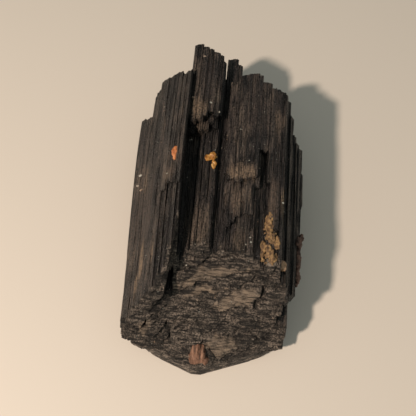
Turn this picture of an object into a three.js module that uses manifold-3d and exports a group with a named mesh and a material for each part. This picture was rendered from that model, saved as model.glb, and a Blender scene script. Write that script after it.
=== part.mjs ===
// A black tourmaline crystal lying on its side, with six small grains of other minerals set into it.
// Millimetres, +Z up. The crystal's long axis runs along Y, the broken end towards -Y and the stepped
// end towards +Y. The origin is on the resting surface, under the middle of the crystal's box.
import * as THREE from "three";
import { mergeVertices } from "three/addons/utils/BufferGeometryUtils.js";
import Module from "manifold-3d";

const wasm = await Module();
wasm.setup();

// Driving dimensions
const crystalLength = 58;
const crystalWidth = 32;
const crystalHeight = 20;
const frontEnd = -crystalLength / 2;
const backEnd = crystalLength / 2;
const leftSide = -crystalWidth / 2;
const rightSide = crystalWidth / 2;
const nearEndShare = 0.9; // the left side's width at the near end, as a share of its full width
const seatGap = 0.3; // clearance between a grain and its socket

// The crystal is a bundle of parallel columns grown together. Each one fills a span across (X),
// a rise (Z) and a run along the crystal (Y). lean is how far its stepped end moves back per mm of X.
const columns = [
  // heart of the crystal, which every other column overlaps
  { span: [-11, 12], rise: [3, 15.2], run: [frontEnd, 18] },
  { span: [-14.2, -7], rise: [4, 12], run: [frontEnd, 16.4] },
  { span: [-7, 8], rise: [5, 14.6], run: [0, 22.6], lean: -0.1 },
  // underside, with the flat that the crystal rests on
  { span: [-9, 1], rise: [0, 8], run: [frontEnd, 20] },
  { span: [-1.5, 9.5], rise: [0, 8], run: [frontEnd, 16] },
  { span: [-12, -5.5], rise: [0.5, 7], run: [frontEnd, 17.6] },
  { span: [-14.8, -10], rise: [1.8, 8], run: [frontEnd, 14] },
  { span: [8.5, 13.6], rise: [1, 7.5], run: [frontEnd, 13] },
  // left block, which climbs to the ridge
  { span: [leftSide, -12.9], rise: [4.4, 10.8], run: [frontEnd, 17.6], lean: 0.1 },
  { span: [-13.2, -10.9], rise: [7.5, 13.6], run: [frontEnd, 22.2], lean: 0.4 },
  { span: [-11.5, -8.2], rise: [9, 16.6], run: [frontEnd, 23.5], lean: 0.1 },
  { span: [-9.1, -6.9], rise: [10, 18.3], run: [frontEnd, 22.6] },
  { span: [-7.8, -5.9], rise: [10, crystalHeight], run: [frontEnd, 21.8] },
  // tall middle columns: the trough floor, the peak above it and the small peak beside it
  { span: [-6.2, -3.4], rise: [9, 16.4], run: [frontEnd, 26.6], lean: -0.3 },
  { span: [-3.8, -0.9], rise: [9, 16.9], run: [frontEnd, 26], lean: -0.3 },
  { span: [-1.4, 1.1], rise: [9, 16.5], run: [frontEnd, 25] },
  { span: [-6.1, -3], rise: [11.5, 18.8], run: [13.4, backEnd], lean: -0.3 },
  { span: [-3.6, -0.2], rise: [11.5, 18.5], run: [12.4, 28.2], lean: -0.4 },
  { span: [-0.5, 3.1], rise: [9.5, 15.7], run: [frontEnd, 28.3], lean: 0.1 },
  // right block, whose upper layer is broken off short of the near end
  { span: [0.6, 3.4], rise: [8, 17.2], run: [frontEnd, 23] },
  { span: [2.6, 6.2], rise: [8, 16.6], run: [frontEnd, 20] },
  { span: [3, 6.4], rise: [10, 17.9], run: [-0.2, 24.2], lean: -0.2 },
  { span: [5.6, 9], rise: [8, 16.2], run: [frontEnd, 20] },
  { span: [6, 9.1], rise: [10, 17.4], run: [2.4, 23.2], lean: -0.2 },
  { span: [8.6, 10.2], rise: [8, 17], run: [8.6, 22.7], lean: -0.2 },
  { span: [9.7, 12.1], rise: [7, 16.6], run: [frontEnd, 22.3], lean: -0.2 },
  // thin flakes stepping down the right flank
  { span: [11.3, 12.9], rise: [5, 14.8], run: [-21, 21.4] },
  { span: [12.2, 13.9], rise: [4.4, 13.2], run: [-17, 18.2] },
  { span: [13.1, 15], rise: [3.8, 12], run: [-16, 14.2] },
  { span: [14.2, 15.5], rise: [4.6, 10.6], run: [-15.2, 4] },
  { span: [14.2, rightSide], rise: [4.8, 10.4], run: [1.8, 12.4], lean: -0.5 },
];

// Grains of other minerals: centre, half sizes, and the turn about Z in degrees.
const grains = [
  { name: "rust_grain", at: [-0.7, -25.9, 4.6], half: [1.8, 1.6, 2], turn: 8, color: 0x8a5a42 },
  { name: "ochre_crust", at: [9.7, -7.4, 15.9], half: [1.7, 4.6, 1.2], turn: 5, color: 0x9c7a4c },
  { name: "amber_grain", at: [-1.2, 6.2, 16.4], half: [1.1, 1.9, 1.1], turn: -12, color: 0xb08038 },
  { name: "red_grain", at: [-7.4, 6, 18.9], half: [0.9, 1.5, 0.9], turn: 5, color: 0xa8583a },
  { name: "tan_bead", at: [12, -11.4, 14.3], half: [0.8, 0.9, 0.8], turn: 0, color: 0xb08a62 },
  { name: "brown_rind", at: [14.7, -8.6, 9.6], half: [1.2, 4.9, 2.2], turn: -2, color: 0x5a4034 },
];

const crystalColor = 0x2a2624;

// A closed geometry as a manifold solid.
function toSolid(geometry) {
  const bare = geometry.clone();
  bare.deleteAttribute("normal");
  bare.deleteAttribute("uv");
  const merged = mergeVertices(bare, 1e-4);
  return new wasm.Manifold(
    new wasm.Mesh({
      numProp: 3,
      vertProperties: new Float32Array(merged.attributes.position.array),
      triVerts: new Uint32Array(merged.index.array),
    }),
  );
}

// A manifold solid as a flat-shaded geometry.
function toGeometry(solid) {
  const mesh = solid.getMesh();
  const geometry = new THREE.BufferGeometry();
  geometry.setAttribute("position", new THREE.BufferAttribute(mesh.vertProperties, 3));
  geometry.setIndex(new THREE.BufferAttribute(mesh.triVerts, 1));
  geometry.computeVertexNormals();
  return geometry;
}

// Eight-cornered cross-section of a column, in shares of its half span and half rise.
const columnCorners = [
  [-0.62, -1],
  [0.62, -1],
  [1, -0.45],
  [1, 0.5],
  [0.55, 1],
  [-0.5, 1],
  [-1, 0.55],
  [-1, -0.4],
];

function columnSolid({ span, rise, run, lean = 0 }) {
  const centreX = (span[0] + span[1]) / 2;
  const centreZ = (rise[0] + rise[1]) / 2;
  const halfSpan = (span[1] - span[0]) / 2;
  const halfRise = (rise[1] - rise[0]) / 2;
  // The shape's plane is X and -Z, so that an extrusion turned onto its side runs along +Y.
  const corners = columnCorners.map(
    ([across, up]) => new THREE.Vector2(centreX + across * halfSpan, -(centreZ + up * halfRise)),
  );
  const length = run[1] - run[0];
  const geometry = new THREE.ExtrudeGeometry(new THREE.Shape(corners), {
    depth: length,
    bevelEnabled: false,
  });
  geometry.rotateX(-Math.PI / 2);
  geometry.translate(0, run[0], 0);
  const position = geometry.attributes.position;
  const middle = run[0] + length / 2;
  for (let i = 0; i < position.count; i++) {
    const x = position.getX(i);
    if (position.getY(i) > middle) {
      // The slanted end only falls from its furthest corner, so run[1] stays the furthest point.
      position.setY(i, run[1] + lean * (x - (lean > 0 ? span[1] : span[0])));
    } else if (x < 0) {
      position.setX(i, x * nearEndShare);
    }
  }
  return toSolid(geometry);
}

// The broken end slopes from the top of the crystal down to the front tip. These rows give how far
// back the break lies at each height, for the middle and for the left block, which stands nearer.
const middleBreak = [
  [-2, -29.6],
  [0.8, -29.2],
  [3, -27.7],
  [6, -24],
  [10, -18.6],
  [14, -12.4],
  [16.5, -8.4],
  [24, 3],
];
const leftBreak = [
  [-2, -29.6],
  [0.8, -29.2],
  [5, -27.2],
  [7, -25],
  [9, -22],
  [13, -18.6],
  [16, -16],
  [20, -11.6],
  [24, -8],
];
const breakShape = {
  tipX: -1, // X of the front tip
  blockEdge: -7.4, // X of the step between the left block and the middle
  blockBlend: 2, // half width of that step
  footDraw: 0.36, // how far the foot draws back from the tip, per mm to either side
  topHollow: 0.22, // how far the top edge comes forward again, per mm to either side
  topHeight: 17,
  ledgeClimb: 0.22, // rise of the ledges per mm to the right
  ledgeDepth: 0.55,
  ledgeRate: 1.5, // radians of ledge per mm
  lumpDepth: 0.3,
  lumpRate: [0.8, 1.1], // radians per mm across and up
  smoothFoot: [1, 5], // heights between which the ledges fade in
};

// Straight-line reading of a table of [height, place] rows.
function readTable(table, height) {
  const row = table.findIndex(([top]) => top >= height);
  const [lowHeight, lowPlace] = table[row - 1];
  const [highHeight, highPlace] = table[row];
  return THREE.MathUtils.mapLinear(height, lowHeight, highHeight, lowPlace, highPlace);
}

function breakPlace(x, z) {
  const { lerp, smoothstep } = THREE.MathUtils;
  const { tipX, blockEdge, blockBlend, footDraw, topHollow, topHeight } = breakShape;
  const { ledgeClimb, ledgeDepth, ledgeRate, lumpDepth, lumpRate, smoothFoot } = breakShape;
  const blockShare = 1 - smoothstep(x, blockEdge - blockBlend, blockEdge + blockBlend);
  const level = lerp(readTable(middleBreak, z), readTable(leftBreak, z), blockShare);
  // From above, the foot of the break is a blunt point, and its top edge is hollow.
  const drawBack = Math.abs(x - tipX) * lerp(footDraw, -topHollow, smoothstep(z, 0, topHeight));
  const ledge = ledgeDepth * Math.sin(ledgeRate * (z - ledgeClimb * x));
  const lump = lumpDepth * Math.sin(lumpRate[0] * x - lumpRate[1] * z);
  const place = level + drawBack + (ledge + lump) * smoothstep(z, ...smoothFoot);
  return Math.max(place, frontEnd);
}

// A block in front of the break, which is cut away from the columns.
function breakCutter() {
  const across = 36; // steps across the break
  const up = 26; // steps up it
  const margin = 1.5; // how far the block stands clear of the crystal's sides, top and underside
  const width = crystalWidth + 2 * margin;
  const height = crystalHeight + 2 * margin;
  const geometry = new THREE.BoxGeometry(width, 2, height, across, 1, up);
  geometry.translate(0, 0, crystalHeight / 2);
  const position = geometry.attributes.position;
  for (let i = 0; i < position.count; i++) {
    const isBack = position.getY(i) > 0;
    const place = breakPlace(position.getX(i), position.getZ(i));
    position.setY(i, isBack ? place : frontEnd - margin);
  }
  return toSolid(geometry);
}

// A lumpy grain, grown all round by extra.
const lumpiness = 0.1; // how far the lumps stand out, as a share of the grain's size

function grainSolid({ at, half, turn }, extra = 0) {
  const geometry = new THREE.IcosahedronGeometry(1, 2);
  const position = geometry.attributes.position;
  const point = new THREE.Vector3();
  for (let i = 0; i < position.count; i++) {
    point.fromBufferAttribute(position, i);
    const wave = Math.sin(3.1 * point.x + 2.3 * point.y + at[0]) * Math.cos(2.7 * point.z + at[1]);
    const lump = 1 + lumpiness * wave;
    position.setXYZ(
      i,
      point.x * (half[0] * lump + extra),
      point.y * (half[1] * lump + extra),
      point.z * (half[2] * lump + extra),
    );
  }
  geometry.rotateZ(THREE.MathUtils.degToRad(turn));
  geometry.translate(...at);
  return toSolid(geometry);
}

// Join the columns, cut the broken end and make a socket for each grain.
function crystalSolid() {
  let body = wasm.Manifold.union(columns.map(columnSolid));
  body = body.subtract(breakCutter());
  for (const grain of grains) {
    body = body.subtract(grainSolid(grain, seatGap));
  }
  return body;
}

const tourmaline = new THREE.Group();

const crystal = new THREE.Mesh(
  toGeometry(crystalSolid()),
  new THREE.MeshStandardMaterial({ color: crystalColor, roughness: 0.42, metalness: 0 }),
);
crystal.name = "tourmaline_crystal";
tourmaline.add(crystal);

for (const grain of grains) {
  const mesh = new THREE.Mesh(
    toGeometry(grainSolid(grain)),
    new THREE.MeshStandardMaterial({ color: grain.color, roughness: 0.6, metalness: 0 }),
  );
  mesh.name = grain.name;
  tourmaline.add(mesh);
}

export default tourmaline;
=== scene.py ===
import bmesh
import bpy
import math
import random
import numpy as np
from mathutils import Matrix, Vector, noise
from mathutils.bvhtree import BVHTree


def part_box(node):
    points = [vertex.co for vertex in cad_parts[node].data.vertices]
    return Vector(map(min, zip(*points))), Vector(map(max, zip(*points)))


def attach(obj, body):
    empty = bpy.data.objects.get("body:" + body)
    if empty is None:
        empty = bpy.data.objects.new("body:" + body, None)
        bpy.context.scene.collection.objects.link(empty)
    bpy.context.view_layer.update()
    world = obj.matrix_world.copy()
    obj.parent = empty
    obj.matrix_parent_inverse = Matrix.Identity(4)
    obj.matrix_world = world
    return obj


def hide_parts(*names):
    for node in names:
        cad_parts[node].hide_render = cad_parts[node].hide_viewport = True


# a black tourmaline crystal that lies on its side, with grains of other minerals in its surface
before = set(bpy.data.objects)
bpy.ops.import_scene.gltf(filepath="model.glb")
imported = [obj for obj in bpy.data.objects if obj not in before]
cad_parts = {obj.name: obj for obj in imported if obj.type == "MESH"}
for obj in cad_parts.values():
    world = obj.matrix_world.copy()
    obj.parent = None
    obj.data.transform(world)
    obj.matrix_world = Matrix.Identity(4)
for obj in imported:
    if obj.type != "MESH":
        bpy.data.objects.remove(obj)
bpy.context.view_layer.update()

mm = 0.001  # everything is modelled in millimetres and scaled at the end
low, high = (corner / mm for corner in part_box("tourmaline_crystal"))
frontEnd, backEnd = low.y, high.y
leftSide, rightSide = low.x, high.x
topSide = high.z


def smooth(value, start, end):
    t = min(1.0, max(0.0, (value - start) / (end - start)))
    return t * t * (3.0 - 2.0 * t)


def mix(a, b, share):
    return a + (b - a) * share


def wave(x, y, z=0.0):
    return noise.noise(Vector((x, y, z)))


def fromTable(rows, value):
    places = [row[0] for row in rows]
    return float(np.interp(value, places, [row[1] for row in rows]))


def insideBox(point, low, high, gap):
    return Vector(min(max(p, l + gap), h - gap) for p, l, h in zip(point, low, high))


def objectFrom(bm, name, collection=None):
    mesh = bpy.data.meshes.new(name)
    bm.to_mesh(mesh)
    bm.free()
    obj = bpy.data.objects.new(name, mesh)
    (collection or bpy.context.scene.collection).objects.link(obj)
    return obj


# single columns: span is across (X), foot and top are heights (Z) at the left and right, run is along (Y)
columns = [
    # heart, inside everything else
    dict(span=(-11, 12), foot=(3, 3), top=(11, 14.4), run=(frontEnd, 13), fine=0.9, step=4),
    dict(span=(-7, 8), foot=(5, 5), top=(15, 14.4), run=(0, 17), fine=0.9, step=4),
    # resting columns
    dict(span=(-8.6, 1), foot=(0, 0), top=(7, 8), run=(frontEnd, 13.4), fine=0.3, step=2),
    dict(span=(-0.5, 8.6), foot=(0, 0), top=(8, 7), run=(frontEnd, 12), fine=0.3, step=2),
]

# layers: rows of columns side by side, with tables of top height, near end and far end across X;
# jitter is how unevenly high they are, and fine is the spacing of points where few are needed
layers = [
    dict(name="left block", span=(leftSide, -6), widths=(0.7, 1.5), depth=4.6, jitter=0.12,
         top=[(-16, 8.8), (-13.4, 11.2), (-11.3, 14.1), (-9.6, 15.8), (-7.7, 17.8), (-6, 19.7)],
         near=[(-16, frontEnd)], far=[(-16, 16.9), (-13.2, 17.1), (-13.1, 21.8), (-12.1, 21.8),
                                      (-12, 24), (-9.4, 23.4), (-6.2, 22.2)], ribs=0.6),
    dict(name="left skin", span=(-15.6, -9.6), widths=(0.9, 2), depth=1.4, jitter=0.05,
         top=[(-16, 9.3), (-13.4, 11.6), (-11.3, 14.5), (-9.6, 16.2)],
         near=[(-16, frontEnd)], far=[(-16, 16.4), (-13.2, 16.4), (-13.1, 21.4), (-12.1, 21.4),
                                      (-12, 23.6), (-9.4, 23)], ribs=0.45),
    dict(name="ridge skin", span=(-9.8, -6.1), widths=(0.6, 1), depth=1.4, jitter=0.05,
         top=[(-9.8, 16.1), (-7.7, 18.2), (-6.1, 19.9)],
         near=[(-9.7, -1.2), (-9, 0.6), (-8.1, 1.4), (-7, 0.4), (-6.1, 0.2)],
         far=[(-9.8, 23), (-6.1, 22)], endJitter=0.5, ribs=0.45),
    dict(name="trough", span=(-6.3, 1), widths=(0.45, 1.1), depth=6, jitter=0.22,
         top=[(-6.3, 15.2), (-4.6, 15.4), (-3, 16.2), (-1.4, 16.5), (-0.3, 16.3), (0.3, 15.3), (1, 15.2)],
         near=[(0, frontEnd)], far=[(-6.3, 26), (-3, 25.6), (-1, 24.6), (1, 23)], ribs=1.3),
    dict(name="peak", span=(-6.1, -0.2), widths=(0.6, 1.3), depth=6.6, jitter=0.12,
         top=[(-6.1, 18.2), (-4.9, 18.8), (-2.2, 18.7), (-0.8, 18.2), (-0.2, 17.6)],
         near=[(-6.1, 12.8), (-4.8, 12.2), (-3.4, 13), (-2, 14.6), (-1.2, 13.6), (-0.2, 14.8)],
         far=[(-6.1, 28.4), (-5.6, 29), (-4.9, 28.7), (-3.6, 27.9), (-2.2, 27.5), (-1, 26.8), (-0.2, 25.4)],
         endJitter=0.2, ribs=0.9),
    dict(name="peak foot", span=(-5.9, -0.8), widths=(0.5, 1), depth=3, jitter=0.2,
         top=[(-5.9, 17), (-4, 17.6), (-0.8, 17.3)],
         near=[(-5.9, 11.2), (-4.6, 11.6), (-3, 11.2), (-2, 12.8), (-0.8, 12.2)], far=[(0, 20)],
         endJitter=0.4, ribs=1),
    dict(name="small peak", span=(0.3, 3), widths=(0.6, 1.1), depth=6, jitter=0.15,
         top=[(0.3, 15.4), (2.4, 15.7), (3, 15.2)], near=[(0, 4)],
         far=[(0.3, 28), (1.2, 28.5), (2.2, 28.4), (3, 26.4)], ribs=0.9),
    dict(name="right block", span=(0.8, 11.7), widths=(0.5, 1.1), depth=6, jitter=0.16,
         top=[(0.8, 15.7), (1.8, 16.1), (3, 16.5), (6.8, 16.5), (7.6, 16.2), (8.2, 15.2), (8.8, 15.2),
              (9.4, 16.6), (11, 16.7), (11.7, 16.3)],
         near=[(0, frontEnd)], far=[(1, 22), (3, 23), (5, 23.4), (8.8, 21.8), (12.2, 20.6)], ribs=1.1),
    dict(name="right middle layer", span=(2, 7.4), widths=(0.5, 1), depth=2, jitter=0.08,
         top=[(2, 16.7), (3, 17), (7.4, 16.9)],
         near=[(2, -7), (3, -5.4), (3.9, -4.2), (4.9, -1.6), (5.6, -4.4), (6.3, -3.6), (6.6, 1.6),
               (7.4, 0)],
         far=[(2, 22), (7.4, 22)], endJitter=0.6, ribs=0.9),
    dict(name="right skin", span=(1.2, 10), widths=(0.5, 1.2), depth=1.6, jitter=0.07,
         top=[(1.2, 16.8), (2, 17.2), (4, 17.6), (6.4, 17.6), (8.9, 17.3), (10, 17)],
         near=[(1.2, 5), (1.9, 1.6), (2.8, 2.4), (4.2, 2.2), (5.6, 2.6), (6.6, 3.4), (7.1, 8.6),
               (8.3, 8.4), (8.6, 3.4), (9.2, 1.8), (10, 1.4)],
         far=[(1.2, 21.5), (3.2, 23.4), (4.6, 23.8), (5.6, 23.8), (6.5, 23.2), (8.8, 21.8), (10, 21.2)],
         endJitter=0.5, ribs=0.7),
    dict(name="right edge skin", span=(9.3, 11.6), widths=(0.5, 1.1), depth=1.6, jitter=0.08,
         top=[(9.3, 17), (10.6, 17.1), (12.1, 16.5)], near=[(9.3, -3.4), (10.6, -6), (12.1, -16)],
         far=[(9.3, 21.4), (11.2, 20.6), (12.1, 20)], endJitter=0.3, ribs=0.8),
    dict(name="right flank", span=(11.4, rightSide), widths=(0.35, 0.8), depth=5.6, jitter=0.3,
         top=[(11.4, 14.8), (12.6, 14.2), (13.4, 12.8), (14.6, 11.4), (16, 10)],
         near=[(11.4, -21), (12.8, -17.6), (13.8, -16.4), (14.8, -15.4), (15, -8), (15.3, 1.6), (16, 2)],
         far=[(11.4, 21.6), (12.5, 20.8), (12.7, 17.6), (13.6, 17.2), (13.8, 13.6), (14.9, 13),
              (15.1, 12.4), (15.5, 9), (16, 6)], endJitter=0.4, ribs=1.2),
    dict(name="left foot", fine=0.28, span=(-15, -7.6), widths=(0.9, 2), jitter=0.1,
         top=[(-15, 8), (-7.6, 8)],
         foot=[(-15, 3.6), (-13, 2.2), (-11, 1.2), (-8.6, 0.3), (-7.6, 0)], near=[(0, frontEnd)],
         far=[(-15, 14), (-7.6, 18)], endJitter=1.5, ribs=0.8),
    dict(name="right foot", fine=0.28, span=(7.8, 14), widths=(0.8, 1.8), jitter=0.1,
         top=[(7.8, 8), (14, 8)],
         foot=[(7.8, 0.2), (9.4, 0.6), (11.4, 1.4), (14, 3)], near=[(0, frontEnd)],
         far=[(7.8, 15), (14, 12)], endJitter=1.5, ribs=0.8),
    dict(name="resting back", fine=0.28, span=(-8.4, 8.4), widths=(0.9, 2.2), top=[(0, 6)], jitter=0.4,
         foot=[(-8.4, 0.4), (-6, 0.1), (6, 0.1), (8.4, 0.4)], near=[(0, 8)],
         far=[(-8.4, 15), (-1, 18.6), (8.4, 14)], endJitter=1.4, ribs=1),
    dict(name="lower back", fine=0.28, span=(-12, 12), widths=(1.2, 2.6), jitter=0.4,
         top=[(0, 9)], foot=[(0, 3)],
         near=[(0, 6)], far=[(-12, 17), (0, 20), (12, 16)], endJitter=1.4, ribs=1),
    dict(name="upper back", fine=0.28, span=(-11.6, 12), widths=(1, 2.2), jitter=0.3,
         top=[(-12, 12.6), (-6, 14.6), (12, 14)], foot=[(0, 8)], near=[(0, 8)],
         far=[(-12, 19), (-6, 21.4), (0, 22), (6, 21), (12, 18)], endJitter=1.2, ribs=1),
]

columnShape = dict(
    chamfers=(0.12, 0.3),  # how far the long edges are broken
    overlap=0.12,
    fine=0.12,  # spacing of points on the tops; the sides and the foot are coarser
    sideFine=0.2,
    footFine=0.5,
    step=1.0,
    ribPitch=0.43,
    grooveDepth=0.23,
    softDepth=0.09,
    chipDepth=0.12,
    sway=0.1,  # how far a column wanders sideways along its run
    endRings=(0.86, 0.6, 0.3),
    endRough=0.5,
    endNoise=1.3,
    endJitter=0.25,  # how unevenly the columns of a layer end
    narrowest=0.3,
    shortest=2,
    lean=0.12,  # how far an end slants
    nearShare=0.9,  # the left side's width at the near end, as a share of its full width
    fullFrom=14,  # where along the crystal it has its full width
)


def ribs(arc, along, seed):
    # rounded ribs with sharp grooves between them, soft swells, and shallow chips
    shape = columnShape
    turn = arc / shape["ribPitch"] + 0.9 * wave(arc * 0.7, along * 0.03, seed)
    crest = math.sin(math.pi * (turn % 1.0))
    strength = 0.5 + 1.6 * wave(math.floor(turn) * 2.7, along * 0.05, seed + 9)
    groove = (1 - crest) ** 2 * max(0.15, strength)
    soft = wave(arc * 0.7, along * 0.02, seed + 4)
    chip = smooth(wave(arc * 1.3, along * 0.22, seed + 21), 0.22, 0.36)
    return shape["softDepth"] * soft - shape["grooveDepth"] * groove - shape["chipDepth"] * chip


def outline(span, foot, top, chamfer, fine):
    # points round the column's cross section, each with its distance round and its way out
    left, right = span
    bevel = min(chamfer, 0.3 * (right - left))
    corners = [
        Vector((left + bevel, foot[0])), Vector((right - bevel, foot[1])),
        Vector((right, foot[1] + bevel)), Vector((right, top[1] - bevel)),
        Vector((right - bevel, top[1])), Vector((left + bevel, top[0])),
        Vector((left, top[0] - bevel)), Vector((left, foot[0] + bevel)),
    ]
    shape = columnShape
    spacing = [shape["footFine"], shape["footFine"], shape["sideFine"], shape["fine"],
               shape["fine"], shape["fine"], shape["sideFine"], shape["footFine"]]
    points, arc = [], 0.0
    for i, corner in enumerate(corners):
        after = corners[(i + 1) % len(corners)]
        length = (after - corner).length
        steps = max(1, round(length / (fine or spacing[i])))
        out = Vector((after.y - corner.y, corner.x - after.x)).normalized()
        for k in range(steps):
            points.append((corner.lerp(after, k / steps), arc + length * k / steps, out))
        arc += length
    return points


def growRing(bm, edges):
    # extrude a ring of edges and list its new points in the order of the edges
    grown = bmesh.ops.extrude_edge_only(bm, edges=edges)["geom"]
    edges = [part for part in grown if isinstance(part, bmesh.types.BMEdge)]
    verts = list(dict.fromkeys(vert for edge in edges for vert in edge.verts))
    return edges, verts


def makeColumn(bm, span, foot, top, run, lean=0.0, fine=None, step=None, chamfer=0.28,
               strength=1.0, seed=0.0):
    points = outline(span, foot, top, chamfer, fine)
    arcLayer = bm.verts.layers.float.new("arc")
    outLayer = bm.verts.layers.float_vector.new("out")
    ring = bmesh.ops.create_circle(bm, segments=len(points), radius=1)["verts"]
    for vert, (place, arc, out) in zip(ring, points):
        vert.co = (place.x, run[0], place.y)
        vert[arcLayer] = arc
        vert[outLayer] = (out.x, 0, out.y)
    # draw the outline out along the crystal, row by row
    nearEdges = list(bm.edges)
    edges = nearEdges
    rows = max(2, int((run[1] - run[0]) / (step or columnShape["step"])))
    for row in range(rows):
        edges, verts = growRing(bm, edges)
        bmesh.ops.translate(bm, verts=verts, vec=(0, (run[1] - run[0]) / rows, 0))
    pivot = span[1] if lean > 0 else span[0]
    for vert in bm.verts:
        share = (vert.co.y - run[0]) / (run[1] - run[0])
        vert.co.y += smooth(share, 0.5, 1) * lean * (vert.co.x - pivot)
        vert.co += vert[outLayer] * (strength * ribs(vert[arcLayer], vert.co.y, seed))
        vert.co.x += columnShape["sway"] * wave(vert.co.y * 0.06, seed, 3.0)
    capEnd(bm, nearEdges, -1, seed)
    capEnd(bm, edges, 1, seed)


def capEnd(bm, edges, facing, seed):
    # rough end, closed by smaller and smaller rings
    share = 1.0
    for ringShare in columnShape["endRings"]:
        edges, verts = growRing(bm, edges)
        middle = sum((v.co for v in verts), Vector()) / len(verts)
        for vert in verts:
            vert.co = middle + (vert.co - middle) * (ringShare / share)
            rough = wave(vert.co.x * columnShape["endNoise"], vert.co.z * columnShape["endNoise"], seed)
            vert.co.y += facing * columnShape["endRough"] * (0.2 + rough) * (1 - ringShare)
        share = ringShare
    bmesh.ops.contextual_create(bm, geom=edges)


def layerColumns(layer, rng):
    shape = columnShape
    x, end = layer["span"]
    lap = shape["overlap"]
    endJitter = layer.get("endJitter", shape["endJitter"])
    while x < end - 0.05:
        right = x + rng.uniform(*layer["widths"])
        if end - right < shape["narrowest"]:
            right = end
        middle, lift = (x + right) / 2, rng.uniform(-layer["jitter"], layer["jitter"])
        top = [min(fromTable(layer["top"], at) + lift, topSide - 0.05) for at in (x, right)]
        if "foot" in layer:
            foot = [fromTable(layer["foot"], at) for at in (x, right)]
        else:
            foot = [height - layer["depth"] for height in top]
        near = fromTable(layer["near"], middle)
        if near > frontEnd:
            near += rng.uniform(-endJitter, endJitter)
        far = min(fromTable(layer["far"], middle) + rng.uniform(-endJitter, endJitter), backEnd - 0.1)
        if far > near + shape["shortest"]:
            yield dict(span=(max(x - lap, leftSide + 0.1), min(right + lap, rightSide - 0.1)),
                       foot=foot, top=top, run=(near, far),
                       lean=rng.uniform(-shape["lean"], shape["lean"]),
                       chamfer=rng.uniform(*shape["chamfers"]), strength=layer["ribs"],
                       fine=layer.get("fine"))
        x = right


def buildColumns():
    group = bpy.data.collections.new("columns")
    bpy.context.scene.collection.children.link(group)
    rng = random.Random(11)
    plans = list(columns)
    for layer in layers:
        plans += layerColumns(layer, rng)
        print(layer["name"], "planned, columns so far:", len(plans))
    made = []
    for number, plan in enumerate(plans):
        bm = bmesh.new()
        makeColumn(bm, seed=number * 5.3 + 3.71, **plan)
        bmesh.ops.recalc_face_normals(bm, faces=bm.faces)
        if bm.calc_volume(signed=True) < 0:
            bmesh.ops.reverse_faces(bm, faces=bm.faces)
        for vert in bm.verts:
            if vert.co.x < 0:
                towardsNear = 1 - smooth(vert.co.y, frontEnd, columnShape["fullFrom"])
                vert.co.x *= mix(1.0, columnShape["nearShare"], towardsNear)
        made.append(objectFrom(bm, f"column{number:02d}", group))
    return group, made


# how far back the broken end lies at each height: points (z, y), for the middle and the left block
middleBreak = [(-2, -29.6), (0.8, -29.2), (3, -27.7), (6, -24), (10, -18.6),
               (14, -12.4), (16.5, -8.4), (24, 3)]
leftBreak = [(-2, -29.6), (0.8, -29.2), (5, -27.2), (7, -25.2), (9.4, -22.4), (12, -18.8),
             (14.7, -16.4), (17.4, -12.6), (18.5, -10), (20, -8.4), (24, -6)]

breakShape = dict(
    tipX=-1,
    blockEdge=-7.5,  # where the left block stands forward of the middle, as a steep wall
    footDraw=0.36, topHollow=0.22, topHeight=17,
    streakClimb=0.14,  # the streaks rise this much per mm to the right
    wallBlend=(3.6, 0.3),  # how softly the block meets the middle, low down and high up
    wallHeights=(11.6, 14.2),
    roughFrom=(1.2, 4.5),  # heights over which the roughness sets in
)

# relief of the break: depth in mm, turns per mm across and up, and the noise's seed
breakRelief = dict(
    sway=(0.7, 0.2, 0.35, 5.0),
    ledge=(0.95, 0.14, 0.8, 11.0),
    streak=(0.6, 0.35, 2.1, 17.0),
    groove=(0.5, 0.6, 3.2, 23.0),
    lump=(0.42, 1.3, 1.6, 29.0),
    crumb=(0.22, 2.7, 3.4, 37.0),
    bend=(0.3, 0.8, 0.8, 31.0),  # how crooked the cracks are
)
notch = dict(depth=0.6, across=0.3, up=1.1, seed=61.0, edge=(0.05, 0.1))

# dark cracks across the break: points (x, z), width and depth
cracks = [
    dict(line=[(-7, 13.9), (-3.4, 13.7), (-1.3, 14.1), (1.1, 14.9), (2.7, 15.6), (4.4, 16)],
         width=0.42, depth=1.2),
    dict(line=[(9.4, 13.4), (9.2, 12.2), (8.3, 11.2), (7, 10.4)], width=0.5, depth=1.6),
    dict(line=[(1, 7.2), (3, 6.6), (4.4, 6.4), (6.3, 6.8), (8.2, 6.2), (9.6, 5.2)],
         width=0.4, depth=1.3),
    dict(line=[(-6.7, 7.5), (-6.1, 6.5), (-6, 5.6), (-6.8, 4.7)], width=0.4, depth=1.2),
    dict(line=[(-0.6, 6.2), (1.5, 4.7), (3.4, 3.5), (5.1, 2.2)], width=0.36, depth=1),
    dict(line=[(-8.4, 3.6), (-5.4, 2.6), (-2.6, 2.2)], width=0.3, depth=0.9),
    dict(line=[(4.6, 12.6), (6.6, 13.4), (8.3, 14.1), (10.8, 14.6)], width=0.4, depth=1.2),
]

# smoother facets on the break: centre (x, z), half size, tilt, and how far they stand forward
facets = [
    dict(at=(0.6, 13.6), half=(7.4, 0.55), tilt=0.2, forward=0.25),
    dict(at=(5, 11.4), half=(4.4, 0.9), tilt=0.36, forward=0.35),
    dict(at=(3, 5.4), half=(3, 1.2), tilt=-0.12, forward=0.5),
    dict(at=(-6.6, 12.6), half=(0.7, 1.2), tilt=0.1, forward=0.3),
    dict(at=(0.4, 12), half=(4.6, 0.3), tilt=0.2, forward=0.15),
    dict(at=(-10.2, 8.8), half=(1, 1.7), tilt=-0.2, forward=0.1),
]


def nearLine(x, z, line):
    best = 99.0
    for (ax, az), (bx, bz) in zip(line, line[1:]):
        dx, dz = bx - ax, bz - az
        t = min(1.0, max(0.0, ((x - ax) * dx + (z - az) * dz) / (dx * dx + dz * dz)))
        best = min(best, math.hypot(x - ax - t * dx, z - az - t * dz))
    return best


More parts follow.
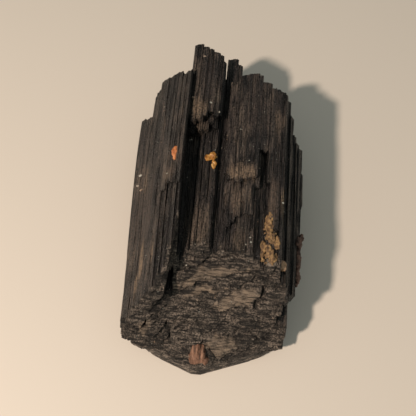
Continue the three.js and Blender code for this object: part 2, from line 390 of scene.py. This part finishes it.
def facetShare(x, z):
    most, forward = 0.0, 0.0
    for facet in facets:
        dx, dz = x - facet["at"][0], z - facet["at"][1]
        c, s = math.cos(facet["tilt"]), math.sin(facet["tilt"])
        u = (dx * c + dz * s) / facet["half"][0]
        v = (dz * c - dx * s) / facet["half"][1]
        ragged = 0.35 * wave(x * 0.9, z * 1.4, 41.0)
        share = 1 - smooth(math.hypot(u, v) + ragged, 0.85, 1.05)
        if share > most:
            most, forward = share, facet["forward"]
    return most, forward


def breakLevel(x, z):
    b = breakShape
    edge = b["blockEdge"] + 0.25 * (z - 13) + 0.9 * wave(z * 0.9, 2.0, 3.0)
    softness = mix(*b["wallBlend"], smooth(z, *b["wallHeights"]))
    blockShare = 1 - smooth(x, edge - softness, edge + softness)
    level = mix(fromTable(middleBreak, z), fromTable(leftBreak, z), blockShare)
    drawBack = abs(x - b["tipX"]) * mix(b["footDraw"], -b["topHollow"], smooth(z, 0, b["topHeight"]))
    return level + drawBack


def relief(name, u, v):
    depth, across, up, seed = breakRelief[name]
    return depth * wave(u * across, v * up, seed)


def breakPlace(x, z):
    u = x + 0.15 * z
    v = z - breakShape["streakClimb"] * x
    v += relief("sway", u, v)
    rough = smooth(z, *breakShape["roughFrom"])
    ledges = relief("ledge", u, v)
    notched = wave(u * notch["across"], v * notch["up"], notch["seed"])
    ledges -= notch["depth"] * smooth(notched, *notch["edge"])
    streaks = relief("streak", u, v) - abs(relief("groove", u, v))
    crumbs = abs(relief("lump", x, z)) + relief("crumb", x, z)
    facet, forward = facetShare(x, z)
    place = breakLevel(x, z) + rough * mix(ledges + streaks + crumbs, ledges * 0.5, facet)
    place -= forward * facet
    bend = relief("bend", x, z)
    for crack in cracks:
        distance = nearLine(x + bend, z + bend, crack["line"])
        place += crack["depth"] * (1 - smooth(distance, 0.0, crack["width"]))
    return max(place, frontEnd)


breakGrid = dict(across=200, up=180, margin=1.0, depth=4)


def buildBreakCutter():
    cutter = breakGrid
    bm = bmesh.new()
    bmesh.ops.create_grid(bm, x_segments=cutter["across"], y_segments=cutter["up"], size=1)
    halfWide = (rightSide - leftSide) / 2 + cutter["margin"]
    halfHigh = (topSide - low.z) / 2 + cutter["margin"]
    middle = (low.z + topSide) / 2
    grid = list(bm.faces)
    for vert in bm.verts:
        x, z = vert.co.x * halfWide, middle + vert.co.y * halfHigh
        vert.co = (x, breakPlace(x, z), z)
    grown = bmesh.ops.extrude_face_region(bm, geom=grid, use_keep_orig=True)["geom"]
    for vert in (part for part in grown if isinstance(part, bmesh.types.BMVert)):
        vert.co.y = frontEnd - cutter["depth"]
    bmesh.ops.recalc_face_normals(bm, faces=bm.faces)
    return objectFrom(bm, "breakCutter")


def applyBooleans(base, group, cutter):
    join = base.modifiers.new("join", "BOOLEAN")
    join.operation, join.operand_type, join.collection = "UNION", "COLLECTION", group
    join.solver = "MANIFOLD"
    cut = base.modifiers.new("cut", "BOOLEAN")
    cut.operation, cut.object, cut.solver = "DIFFERENCE", cutter, "MANIFOLD"
    graph = bpy.context.evaluated_depsgraph_get()
    return bpy.data.meshes.new_from_object(base.evaluated_get(graph))


def keepBiggest(bm):
    # drop any loose crumb or closed bubble that the joining left
    left, best = set(bm.verts), set()
    while left:
        start = left.pop()
        found, stack = {start}, [start]
        while stack:
            for edge in stack.pop().link_edges:
                for vert in edge.verts:
                    if vert not in found:
                        found.add(vert)
                        stack.append(vert)
        left -= found
        if len(found) > len(best):
            best = found
    stray = [v for v in bm.verts if v not in best]
    bmesh.ops.delete(bm, geom=stray, context="VERTS")
    return len(stray)


def buildCrystal():
    group, made = buildColumns()
    print("columns:", len(made), "points", sum(len(o.data.vertices) for o in made))
    base = made[0]
    group.objects.unlink(base)
    bpy.context.scene.collection.objects.link(base)
    cutter = buildBreakCutter()
    mesh = applyBooleans(base, group, cutter)
    for obj in [*made, cutter]:
        bpy.data.objects.remove(obj)
    bpy.data.collections.remove(group)
    bm = bmesh.new()
    bm.from_mesh(mesh)
    print("stray points removed:", keepBiggest(bm))
    for vert in bm.verts:
        vert.co = insideBox(vert.co, low, high, 0)
    bmesh.ops.triangulate(bm, faces=bm.faces)
    oddEdges = sum(1 for edge in bm.edges if not edge.is_manifold)
    print("crystal faces:", len(bm.faces), "edges without exactly two faces:", oddEdges)
    return objectFrom(bm, "tourmaline_mesh")


crystal = buildCrystal()

# dust, bare streaks and the break are kept as attributes on the crystal's points
# each spot: place (x, y), half size across and along, and how strong it is
dustSpots = [
    dict(at=(-4.3, 15), size=(2.3, 2.6), dust=0.95, tan=0.8),  # near end of the peak
    dict(at=(-3.5, 12), size=(1.8, 1.3), dust=0.7, tan=0.5),
    dict(at=(4, 3.8), size=(3.2, 1.9), dust=1, tan=0.8),  # end of the right block's top layer
    dict(at=(3.4, -2), size=(1.8, 3.2), dust=0.7, tan=0.15),
    dict(at=(4.6, -8), size=(1.6, 2.2), dust=0.8, tan=0.5),
    dict(at=(10.6, 14.5), size=(1.2, 3), dust=0.7, tan=0.4),
    dict(at=(11.7, -1.4), size=(0.6, 3.4), dust=1, tan=1),  # pale streak on the right edge
    dict(at=(10, -1), size=(1.2, 5), dust=0.7, tan=0.3),
    dict(at=(-12.6, -3), size=(2.6, 12), dust=0.55, tan=0.12),
    dict(at=(-13.6, 3), size=(1.6, 4), dust=0.75, tan=0.25),
    dict(at=(-8.4, 2.6), size=(1.6, 1.4), dust=0.8, tan=0.3),
    dict(at=(-11.6, -12.5), size=(0.5, 4), dust=0.9, tan=0.9),
    dict(at=(-9.6, -11.5), size=(0.25, 2.6), dust=0.9, tan=0.8),
    dict(at=(-12.2, -16), size=(0.4, 2.4), dust=0.9, tan=0.9),
    dict(at=(-3.2, 21), size=(3.2, 6.5), dust=0.6, tan=0.05),  # top of the peak
    dict(at=(-2.6, -6.5), size=(2.6, 5.5), dust=0.9, tan=0.3),  # near part of the trough
    dict(at=(6.4, 16), size=(5, 6), dust=0.5, tan=0.05),
    dict(at=(3.6, -0.6), size=(2.4, 3.4), dust=0.85, tan=0.4),
    dict(at=(-5.3, 2), size=(1.1, 13), dust=0.35, tan=0),  # painted highlight: pale streaks on the trough's shaded deep side, standing for glints
]

bareSpots = [
    dict(at=(-7.6, -10), size=(2, 11), bare=0.85),  # beside the ridge, where the top layer is gone
    dict(at=(-4.9, 0), size=(1.6, 14), bare=0.7),  # deep side of the trough
    dict(at=(-2.6, 5), size=(2.2, 8), bare=0.75),
    dict(at=(0.6, 0), size=(1.2, 9), bare=0.85),  # groove between the trough and the right block
    dict(at=(0.2, 16), size=(0.7, 12), bare=0.9),
    dict(at=(6.5, 0.2), size=(0.5, 1.8), bare=0.9),
    dict(at=(4.9, -3), size=(0.3, 1.8), bare=0.9),
    dict(at=(6, -4.5), size=(1, 2.5), bare=0.7),
    dict(at=(7.7, -5.5), size=(0.9, 5.5), bare=0.95),
    dict(at=(8, 6.6), size=(0.8, 2.6), bare=1),
    dict(at=(8.6, 0.6), size=(0.8, 1.6), bare=1),
    dict(at=(14.6, 5), size=(1.8, 12), bare=0.9),  # right flank
    dict(at=(13, -8.6), size=(0.9, 3.2), bare=1),
    dict(at=(12.4, -15), size=(1.2, 5), bare=0.7),
    dict(at=(-14.7, 14), size=(0.9, 3.4), bare=0.55),
    dict(at=(-11.9, 15), size=(0.25, 8), bare=0.8),
    dict(at=(-13.3, 11), size=(0.25, 7), bare=0.8),
    dict(at=(-9.4, 16), size=(0.2, 7), bare=0.7),
    dict(at=(-10.6, -4), size=(0.2, 9), bare=0.6),
    dict(at=(-12.9, -9), size=(0.2, 8), bare=0.6),
    dict(at=(2.9, 10), size=(0.2, 9), bare=0.7),
    dict(at=(4.9, 16), size=(0.2, 6), bare=0.6),
    dict(at=(-3.2, 20), size=(0.25, 7), bare=0.6),
    dict(at=(6.6, 13), size=(0.3, 7), bare=0.6),
    dict(at=(9.9, 8), size=(0.3, 6), bare=0.7),
    dict(at=(5.4, -7.5), size=(1.8, 4), bare=0.5),
    dict(at=(-12, -20), size=(3, 6), bare=0.3),
]

painting = dict(
    spotFade=(0.55, 1.05),  # where a spot starts to fade and where it ends, as shares of its size
    ragged=0.5,
    rays=12, reach=2.5, lift=0.03, spread=1.05,  # rays that measure how open the surface is
    breakGap=0.1, breakEnd=2,  # how near a point lies to the break, and how far back that is looked for
)


def spotShare(spot, x, y, raggedness):
    away = math.hypot((x - spot["at"][0]) / spot["size"][0], (y - spot["at"][1]) / spot["size"][1])
    return 1 - smooth(away + raggedness, *painting["spotFade"])


def measureShadeOpenness(tree, places, normals):
    # 1 where nothing stands near, less in grooves and corners; the material uses it to paint shade there
    rng = random.Random(5)
    rays = []
    while len(rays) < painting["rays"]:
        ray = Vector((rng.uniform(-1, 1), rng.uniform(-1, 1), rng.uniform(-1, 1)))
        if 0.1 < ray.length < 1:
            rays.append(ray.normalized())
    shadeOpenness = np.empty(len(places))
    for i, (place, way) in enumerate(zip(places, normals)):
        normal = Vector(way)
        start = Vector(place) + normal * painting["lift"]
        total = 0.0
        for ray in rays:
            hit = tree.ray_cast(start, (ray + normal * painting["spread"]).normalized(), painting["reach"])
            total += 1.0 if hit[0] is None else hit[3] / painting["reach"]
        shadeOpenness[i] = total / len(rays)
    return shadeOpenness


def paintCrystal(obj):
    mesh = obj.data
    count = len(mesh.vertices)
    places = np.empty(count * 3)
    mesh.vertices.foreach_get("co", places)
    places = places.reshape(-1, 3)
    normals = np.array([v.normal[:] for v in mesh.vertices])
    tree = BVHTree.FromPolygons(
        [v.co for v in mesh.vertices], [p.vertices[:] for p in mesh.polygons])
    # openness is used below to paint shade into grooves, corners and crevices
    shadeOpenness = measureShadeOpenness(tree, places, normals)
    broken, tan, dust, bare = (np.zeros(count) for _ in range(4))
    for i, (x, y, z) in enumerate(places):
        if y < painting["breakEnd"] and abs(y - breakPlace(x, z)) < painting["breakGap"]:
            broken[i] = 1
            facet = facetShare(x, z)[0]
            tan[i] = facet * min(1, max(0, 0.7 + 0.8 * wave(x * 0.8, z * 2, 3.0)))
            continue
        ragged = painting["ragged"] * wave(x * 1.7, y * 0.25, z * 0.5)
        for spot in dustSpots:
            share = spotShare(spot, x, y, ragged)
            tan[i] = max(tan[i], share * spot["tan"])
            dust[i] = max(dust[i], share * spot["dust"])
        for spot in bareSpots:
            bare[i] = max(bare[i], spotShare(spot, x, y, ragged) * spot["bare"])
    pointValues = dict(shadeOpenness=shadeOpenness, broken=broken, tan=tan, dust=dust, bare=bare,
                       upward=normals[:, 2])
    for name, values in pointValues.items():
        layer = mesh.attributes.new(name, "FLOAT", "POINT")
        layer.data.foreach_set("value", values.astype(np.float32))
    return tree


crystalTree = paintCrystal(crystal)
crystal.data.transform(Matrix.Scale(mm, 4))
print("dust, bare streaks and the break are painted")


def newMaterial(name):
    material = bpy.data.materials.new(name)
    material.use_nodes = True
    nodes = material.node_tree.nodes
    return material, material.node_tree, nodes["Principled BSDF"]


def addNode(tree, kind, links=None, **settings):
    node = tree.nodes.new(kind)
    for key, value in settings.items():
        if hasattr(node, key):
            setattr(node, key, value)
        else:
            node.inputs[key].default_value = value
    for key, source in (links or {}).items():
        tree.links.new(source, node.inputs[key])
    return node


def grainNoise(tree, scale, detail=3.0, roughness=0.55, turn=(0, 0, 0), distortion=0.0):
    # noise in the object's own space, scale given per mm along x, y and z
    place = addNode(tree, "ShaderNodeTexCoord").outputs["Object"]
    mapped = addNode(tree, "ShaderNodeMapping", {"Vector": place})
    mapped.inputs["Rotation"].default_value = turn
    mapped.inputs["Scale"].default_value = [s / mm for s in scale]
    return addNode(tree, "ShaderNodeTexNoise", {"Vector": mapped.outputs[0]},
                   Scale=1.0, Detail=detail, Roughness=roughness,
                   Distortion=distortion).outputs["Fac"]


def ramp(tree, value, stops):
    node = addNode(tree, "ShaderNodeValToRGB", {"Fac": value})
    elements = node.color_ramp.elements
    while len(elements) < len(stops):
        elements.new(0.5)
    for element, (position, color) in zip(elements, stops):
        element.position = position
        element.color = (*color, 1) if len(color) == 3 else color
    return node.outputs["Color"]


def stretch(tree, value, low, high, newLow=0.0, newHigh=1.0):
    node = addNode(tree, "ShaderNodeMapRange")
    tree.links.new(value, node.inputs["Value"])
    for key, number in (("From Min", low), ("From Max", high),
                        ("To Min", newLow), ("To Max", newHigh)):
        node.inputs[key].default_value = number
    return node.outputs["Result"]


def maths(tree, operation, first, second):
    node = addNode(tree, "ShaderNodeMath", operation=operation)
    for socket, value in zip(node.inputs, (first, second)):
        if isinstance(value, (int, float)):
            socket.default_value = value
        else:
            tree.links.new(value, socket)
    return node.outputs[0]


def blend(tree, share, first, second):
    node = addNode(tree, "ShaderNodeMix", data_type="RGBA")
    for socket, value in ((node.inputs[0], share), (node.inputs[6], first), (node.inputs[7], second)):
        if isinstance(value, tuple):
            socket.default_value = (*value, 1)
        elif isinstance(value, (int, float)):
            socket.default_value = value
        else:
            tree.links.new(value, socket)
    return node.outputs[2]


def attribute(tree, name):
    return addNode(tree, "ShaderNodeAttribute", attribute_name=name).outputs["Fac"]


tourmalineLook = dict(
    black=(0.0068, 0.0063, 0.0064),
    dust=(0.185, 0.145, 0.116),
    mauve=(0.118, 0.092, 0.084),
    tan=(0.34, 0.245, 0.165),
    brokenDarkAndShade=(0.009, 0.008, 0.0075),
    brokenTan=(0.44, 0.34, 0.25),
    brokenPale=(0.38, 0.313, 0.255),
    bump=0.00032,
)

# noise patterns on the crystal: turns per mm along x, y and z, so the low ones are drawn out
streakTurn = (0, math.radians(8), 0)  # the break's streaks rise a little to the right
tourmalineNoise = dict(
    streaks=dict(scale=(2.6, 0.15, 2.6), detail=8, roughness=0.72),
    threads=dict(scale=(6, 0.35, 6), detail=6, roughness=0.75),
    patches=dict(scale=(0.4, 0.13, 0.4), detail=5, roughness=0.6),
    specks=dict(scale=(4.5, 3.4, 4.5), detail=6, roughness=0.75),
    glintLines=dict(scale=(5, 0.09, 5), detail=6, roughness=0.7),
    scratches=dict(scale=(7, 0.08, 7), detail=6, roughness=0.65),
    hair=dict(scale=(0.32, 2.3, 2.3), detail=9, roughness=0.72, turn=streakTurn, distortion=0.4),
    broad=dict(scale=(0.25, 0.5, 0.5), detail=5, roughness=0.6, turn=streakTurn),
    crumb=dict(scale=(3.6, 3.6, 3.6), detail=5, roughness=0.7),
)


def times(tree, first, second):
    return maths(tree, "MULTIPLY", first, second)


def dustShadeAndGlints(tree, noises, shadeOpenness):
    # how much pale dust colour each point of the prism gets, from 0 to 1: less in grooves and corners as
    # painted shade, with thin pale streaks as painted highlights where the dust is gone
    facingUp = stretch(tree, attribute(tree, "upward"), 0.2, 0.8)
    bare = attribute(tree, "bare")
    dustWithPaintedLight = times(tree, facingUp, stretch(tree, shadeOpenness, 0.45, 0.85))
    dustWithPaintedLight = times(tree, dustWithPaintedLight, stretch(tree, noises["streaks"], 0.42, 0.54, 0.04, 1))
    dustWithPaintedLight = times(tree, dustWithPaintedLight, stretch(tree, noises["threads"], 0.4, 0.54, 0.15, 1.1))
    dustWithPaintedLight = times(tree, dustWithPaintedLight, stretch(tree, noises["patches"], 0.4, 0.57, 0.28, 1.05))
    extra = times(tree, attribute(tree, "dust"), stretch(tree, noises["streaks"], 0.36, 0.52, 0.15, 1))
    extra = times(tree, extra, stretch(tree, shadeOpenness, 0.4, 0.75, 0.2, 1))
    dustWithPaintedLight = maths(tree, "MAXIMUM", dustWithPaintedLight, extra)
    dustWithPaintedLight = times(tree, dustWithPaintedLight, stretch(tree, noises["specks"], 0.44, 0.53, 0.12, 1.1))
    # in bare places some pale threads stay as painted highlights for glints
    coverWithGlintThreads = maths(tree, "ADD", maths(tree, "SUBTRACT", 1.0, bare),
                    stretch(tree, noises["threads"], 0.54, 0.63, 0, 0.55))
    dustWithPaintedLight = times(tree, dustWithPaintedLight, stretch(tree, coverWithGlintThreads, 0, 1))
    # thin pale streaks stay where the dust is gone, even in the deep side of the trough: painted highlights
    # standing for glints on the bare black
    glintLines = times(tree, stretch(tree, noises["glintLines"], 0.52, 0.62, 0, 0.6), bare)
    return maths(tree, "MAXIMUM", dustWithPaintedLight, times(tree, glintLines, facingUp))


def breakColor(tree, noises, shadeOpenness, tanShare):
    # dull grey, blotched along the streaks and darkened in the crevices as painted shade, with tan on the
    # smoother facets
    mottledAndShaded = times(tree, stretch(tree, noises["hair"], 0.44, 0.57, 0.06, 1.05),
                    stretch(tree, shadeOpenness, 0.5, 0.85, 0.02, 1))
    mottledAndShaded = times(tree, mottledAndShaded, stretch(tree, noises["crumb"], 0.44, 0.55, 0.15, 1))
    mottledAndShaded = times(tree, mottledAndShaded, stretch(tree, noises["broad"], 0.36, 0.6, 0.35, 1.1))
    color = blend(tree, mottledAndShaded, tourmalineLook["brokenDarkAndShade"], tourmalineLook["brokenPale"])
    tanHere = times(tree, tanShare, stretch(tree, noises["hair"], 0.4, 0.57, 0.08, 1))
    return blend(tree, tanHere, color, tourmalineLook["brokenTan"])


def tourmalineMaterial():
    look = tourmalineLook
    material, tree, shader = newMaterial("tourmaline")
    noises = {name: grainNoise(tree, **values) for name, values in tourmalineNoise.items()}
    shadeOpenness, broken = attribute(tree, "shadeOpenness"), attribute(tree, "broken")
    tanShare = attribute(tree, "tan")
    # the prism is black, with dust that turns from mauve to brown and tan; the pale colour thins out in
    # grooves and corners as painted shade
    dustWithPaintedLight = dustShadeAndGlints(tree, noises, shadeOpenness)
    dustColor = blend(tree, stretch(tree, noises["patches"], 0.42, 0.6), look["mauve"], look["dust"])
    dustColor = blend(tree, tanShare, dustColor, look["tan"])
    prismColor = blend(tree, dustWithPaintedLight, look["black"], dustColor)
    color = blend(tree, broken, prismColor, breakColor(tree, noises, shadeOpenness, tanShare))
    tree.links.new(color, shader.inputs["Base Color"])
    # glossy where it is bare, dull under dust and on the break
    shine = blend(tree, broken, stretch(tree, dustWithPaintedLight, 0, 0.7, 0.22, 0.8),
                  stretch(tree, noises["crumb"], 0.35, 0.65, 0.35, 0.8))
    tree.links.new(shine, shader.inputs["Roughness"])
    prismHeight = maths(tree, "ADD", maths(tree, "ADD", noises["scratches"], noises["streaks"]),
                        times(tree, noises["specks"], 0.35))
    breakHeight = maths(tree, "ADD", times(tree, noises["hair"], 2.2), times(tree, noises["crumb"], 1.6))
    height = blend(tree, broken, prismHeight, breakHeight)
    bump = addNode(tree, "ShaderNodeBump", {"Height": height}, Strength=1.0, Distance=look["bump"])
    tree.links.new(bump.outputs[0], shader.inputs["Normal"])
    return material


crystal.data.materials.append(tourmalineMaterial())
crystal.data.set_sharp_from_angle(angle=math.radians(35))
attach(crystal, "root")
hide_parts("tourmaline_crystal")

# grains of other minerals: clumps are (x, y, half width, half length), or (z, y, ...) where the
# grain sits on the right flank; past is how far it may stand out of its solid's box
grains = [
    dict(name="ochre_mesh", node="ochre_crust", slot="ochre_mineral", count=330, size=(0.14, 0.36),
         clumps=[(9.3, -5.6, 0.8, 1.6), (9.9, -7.4, 1, 1.2), (10.9, -8.2, 0.35, 1.2),
                 (9.2, -10.2, 0.9, 1.7), (10.3, -10.6, 0.7, 1.1), (8.7, -8.6, 0.4, 0.8),
                 (9.4, -4, 0.5, 0.9)]),
    dict(name="amber_mesh", node="amber_grain", slot="amber_mineral", count=34, size=(0.28, 0.5),
         clumps=[(-1.1, 6.9, 0.75, 0.75), (-0.7, 5.4, 0.3, 0.9), (-1.8, 6.5, 0.4, 0.4)]),
    dict(name="red_mesh", node="red_grain", slot="red_mineral", count=16, size=(0.3, 0.5),
         clumps=[(-7.5, 6, 0.35, 1.1)]),
    dict(name="rust_mesh", node="rust_grain", slot="rust_mineral", count=80, size=(0.4, 0.8),
         clumps=[(-0.7, -26.7, 2.1, 0.5), (-0.7, -26, 1.5, 0.7), (-0.7, -25, 0.8, 0.9)]),
    dict(name="bead_mesh", node="tan_bead", slot="tan_mineral", count=12, size=(0.6, 0.9),
         clumps=[(12.2, -11.4, 0.4, 0.5)]),
    dict(name="rind_mesh", node="brown_rind", slot="brown_mineral", count=300, size=(0.16, 0.62),
         flank=True, proud=1, past=0.6,
         clumps=[(9.8, -6, 1.6, 1.6), (9.4, -9, 1.6, 2.2), (9.2, -11.8, 1.4, 1.4)]),
]

grainShape = dict(
    rimShrink=0.5,  # lumps near a clump's rim are smaller by this share
    sunk=0.3,  # how far a lump's middle stands off the surface, as a share of its radius
    farthest=1.6,
    facet=0.5, along=1.15, flat=0.8,
    voxel=0.09, roughness=0.07, roughScale=3.2,
)


def buildGrain(number, grain):
    low, high = (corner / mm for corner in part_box(grain["node"]))
    high.x += grain.get("past", 0)  # the rind stands out a little past its solid
    rng = random.Random(40 + number)
    shape = grainShape
    bm = bmesh.new()
    placed, tries = 0, 0
    while placed < grain["count"] and tries < 5000:
        tries += 1
        across, along, halfAcross, halfAlong = rng.choice(grain["clumps"])
        turn, reach = rng.uniform(0, math.tau), math.sqrt(rng.random())
        across += halfAcross * reach * math.cos(turn)
        along += halfAlong * reach * math.sin(turn)
        if grain.get("flank"):
            start, way = Vector((rightSide + 2, along, across)), Vector((-1, 0, 0))
        else:
            start, way = Vector((across, along, topSide + 2)), Vector((0, 0, -1))
        hit = crystalTree.ray_cast(start, way)
        if hit[0] is None:
            continue
        size = rng.uniform(*grain["size"]) * (1.15 - shape["rimShrink"] * reach)
        spot = insideBox(hit[0] - way * size * grain.get("proud", shape["sunk"]), low, high, size)
        if (spot - hit[0]).length > size * shape["farthest"]:
            continue
        lump = bmesh.ops.create_icosphere(bm, subdivisions=2, radius=size)["verts"]
        for vert in lump:
            facet = 1 + shape["facet"] * noise.noise(vert.co * (1.1 / size) + spot)
            drawn = Vector((vert.co.x, vert.co.y * shape["along"], vert.co.z * shape["flat"]))
            vert.co = spot + drawn * facet
        placed += 1
    rough = objectFrom(bm, grain["name"] + "_lumps")
    fuse = rough.modifiers.new("fuse", "REMESH")
    fuse.mode, fuse.voxel_size = "VOXEL", shape["voxel"]
    graph = bpy.context.evaluated_depsgraph_get()
    mesh = bpy.data.meshes.new_from_object(rough.evaluated_get(graph))
    bpy.data.objects.remove(rough)
    bm = bmesh.new()
    bm.from_mesh(mesh)
    bmesh.ops.smooth_vert(bm, verts=bm.verts, factor=0.5)
    for vert in bm.verts:
        vert.co += vert.normal * shape["roughness"] * noise.noise(vert.co * shape["roughScale"])
        vert.co = insideBox(vert.co, low, high, 0.01)
    obj = objectFrom(bm, grain["name"])
    obj.data.transform(Matrix.Scale(mm, 4))
    obj.data.polygons.foreach_set("use_smooth", [True] * len(obj.data.polygons))
    print(grain["name"], placed, "lumps", len(obj.data.polygons), "faces")
    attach(obj, "root")
    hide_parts(grain["node"])
    return obj


mineralLooks = {
    # colours from deep to pale, noise turns per mm and the range of roughness
    "ochre_crust": dict(colors=[(0.04, 0.026, 0.017), (0.2, 0.118, 0.056), (0.46, 0.3, 0.13)],
                        scale=(2.2, 1.6, 2.2), rough=(0.6, 0.85)),
    "amber_grain": dict(colors=[(0.22, 0.085, 0.018), (0.52, 0.24, 0.05), (0.78, 0.5, 0.2)],
                        scale=(1.3, 1, 1.3), rough=(0.15, 0.38)),
    "red_grain": dict(colors=[(0.3, 0.09, 0.03), (0.56, 0.19, 0.06), (0.68, 0.31, 0.14)],
                      scale=(1, 0.8, 1), rough=(0.4, 0.65)),
    "rust_grain": dict(colors=[(0.04, 0.023, 0.016), (0.19, 0.095, 0.057), (0.37, 0.21, 0.14)],
                       scale=(2.2, 0.25, 0.25), rough=(0.55, 0.85)),
    "tan_bead": dict(colors=[(0.3, 0.165, 0.09), (0.56, 0.34, 0.2), (0.78, 0.55, 0.38)],
                     scale=(1.2, 1.2, 1.2), rough=(0.3, 0.55)),
    "brown_rind": dict(colors=[(0.026, 0.015, 0.012), (0.115, 0.06, 0.044), (0.23, 0.13, 0.095)],
                       scale=(1.2, 0.8, 1.2), rough=(0.55, 0.85)),
}


def mineralMaterial(node):
    look = mineralLooks[node]
    material, tree, shader = newMaterial(node + "_look")
    broad = grainNoise(tree, look["scale"], detail=6, roughness=0.65)
    fine = grainNoise(tree, (7, 6, 7), detail=6, roughness=0.7)
    mixed = maths(tree, "ADD", times(tree, broad, 0.75), times(tree, fine, 0.25))
    color = ramp(tree, mixed, list(zip((0.36, 0.5, 0.64), look["colors"])))
    tree.links.new(color, shader.inputs["Base Color"])
    tree.links.new(stretch(tree, fine, 0.35, 0.65, *look["rough"]), shader.inputs["Roughness"])
    bump = addNode(tree, "ShaderNodeBump", {"Height": mixed}, Strength=0.7, Distance=0.0002)
    tree.links.new(bump.outputs[0], shader.inputs["Normal"])
    return material


for number, grain in enumerate(grains):
    buildGrain(number, grain).data.materials.append(mineralMaterial(grain["node"]))


# place (x, y) and size of the larger pale grains and painted glints that stand out
flakesAndGlints = [(-14.2, 4.6, 0.4), (-14.5, 2.6, 0.34), (-13.7, 1.5, 0.36), (-10.9, 17, 0.14), (-10.9, 16.2, 0.16),
          (-5.4, 17.2, 0.3), (-2.2, 16.4, 0.22), (-0.6, 14.9, 0.2), (-5.2, 10.4, 0.14), (11.5, -1, 0.24),
          (6.6, -8.4, 0.22), (6.4, -7.6, 0.16), (-2.6, -9.4, 0.16), (-6.9, -10.6, 0.14), (3.6, 12, 0.12),
          (1.2, 11, 0.14), (1.2, 10.2, 0.12), (7.2, 5, 0.18), (5.8, -8.9, 0.2), (-3.8, -12.6, 0.14),
          (-1.6, -17.6, 0.2), (1.4, -17, 0.14), (-8.6, -24.4, 0.2), (8.6, -22.6, 0.2), (11.4, -19.4, 0.16),
          (10.4, -11.8, 0.2), (-4.2, 26, 0.24), (-8.6, 2.5, 0.16), (-8, 2.9, 0.14), (12.6, 8.6, 0.14)]

flakeAndGlintLook = dict(
    count=260, across=(-13, 12.6), along=(-25, 21), size=(0.04, 0.1),  # the scatter of smaller ones, pale dots painted as glints
    lowest=2,
    shape=(0.8, 1.3, 0.4),
    colors=[(0.4, (0.22, 0.14, 0.085)), (0.5, (0.33, 0.28, 0.23)), (0.6, (0.46, 0.47, 0.42))],
    rough=(0.12, 0.5),
)


def buildFlakesAndGlints():
    look = flakeAndGlintLook
    wide, long, thick = look["shape"]
    rng = random.Random(3)
    bm = bmesh.new()
    places = list(flakesAndGlints)
    while len(places) < look["count"]:
        places.append((rng.uniform(*look["across"]), rng.uniform(*look["along"]),
                       rng.uniform(*look["size"])))
    for x, y, size in places:
        hit = crystalTree.ray_cast(Vector((x, y, topSide + 2)), Vector((0, 0, -1)))
        if hit[0] is None or hit[0].z < look["lowest"]:
            continue
        turn = hit[1].to_track_quat("Z", "Y")
        flake = bmesh.ops.create_icosphere(bm, subdivisions=2, radius=size)["verts"]
        for vert in flake:
            lumpy = 0.8 + 0.9 * noise.noise(vert.co * (1.4 / size) + Vector((x, y, 0)))
            drawn = turn @ Vector((vert.co.x * wide, vert.co.y * long, vert.co.z * thick))
            vert.co = drawn * lumpy + hit[0]
            vert.co.z = min(vert.co.z, topSide)
    obj = objectFrom(bm, "pale_flakes_and_glints")
    obj.data.transform(Matrix.Scale(mm, 4))
    material, tree, shader = newMaterial("pale_flakes_and_glints_look")
    tint = grainNoise(tree, (0.5, 0.5, 0.5), detail=3)
    # pale colours: partly real pale grains, partly painted highlights standing for glints
    tree.links.new(ramp(tree, tint, look["colors"]), shader.inputs["Base Color"])
    dull = stretch(tree, grainNoise(tree, (9, 9, 9)), 0.3, 0.7, *look["rough"])
    tree.links.new(dull, shader.inputs["Roughness"])
    obj.data.materials.append(material)
    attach(obj, "root")
    print("pale flakes:", len(obj.data.polygons), "faces")


buildFlakesAndGlints()

floorLook = dict(color=(0.8, 0.74, 0.66), roughness=0.6, size=0.6)
floorMesh = bmesh.new()
bmesh.ops.create_grid(floorMesh, x_segments=1, y_segments=1, size=floorLook["size"])
floor = objectFrom(floorMesh, "floor")
floorMaterial, _, floorShader = newMaterial("floor")
floorShader.inputs["Base Color"].default_value = (*floorLook["color"], 1)
floorShader.inputs["Roughness"].default_value = floorLook["roughness"]
floor.data.materials.append(floorMaterial)

# the view is in degrees and mm
view = dict(azimuth=5, elevation=69, distance=97, target=(-1.3, 0.25, 8), lens=45)
turned, up = math.radians(view["azimuth"]), math.radians(view["elevation"])
back = Vector((math.sin(turned) * math.cos(up), -math.cos(turned) * math.cos(up), math.sin(up)))
cameraData = bpy.data.cameras.new("camera")
cameraData.lens, cameraData.sensor_width = view["lens"], 36
cameraData.clip_start = 0.005
camera = bpy.data.objects.new("camera", cameraData)
camera.location = (Vector(view["target"]) + back * view["distance"]) * mm
camera.rotation_euler = back.to_track_quat("Z", "Y").to_euler()
bpy.context.scene.collection.objects.link(camera)
bpy.context.scene.camera = camera

# one warm lamp, high at the front left; its places are in metres
keyLamp = dict(towards=(-0.7, -0.5, 1), distance=0.36, aim=(0.14, -0.14, 0), size=0.029,
               energy=1.2, color=(1, 0.82, 0.68))
lamp = bpy.data.lights.new("key", "AREA")
lamp.shape, lamp.size = "DISK", keyLamp["size"]
lamp.energy, lamp.color = keyLamp["energy"], keyLamp["color"]
key = bpy.data.objects.new("key", lamp)
towards = Vector(keyLamp["towards"]).normalized()
key.location = towards * keyLamp["distance"]
facing = key.location - Vector(keyLamp["aim"])
key.rotation_euler = facing.to_track_quat("Z", "Y").to_euler()
bpy.context.scene.collection.objects.link(key)

world = bpy.data.worlds.new("world")
bpy.context.scene.world = world
world.use_nodes = True
skyColor = (0.24, 0.257, 0.243, 1)
world.node_tree.nodes["Background"].inputs["Color"].default_value = skyColor
bpy.context.scene.view_settings.view_transform = "Standard"
print("floor, light and camera are set")
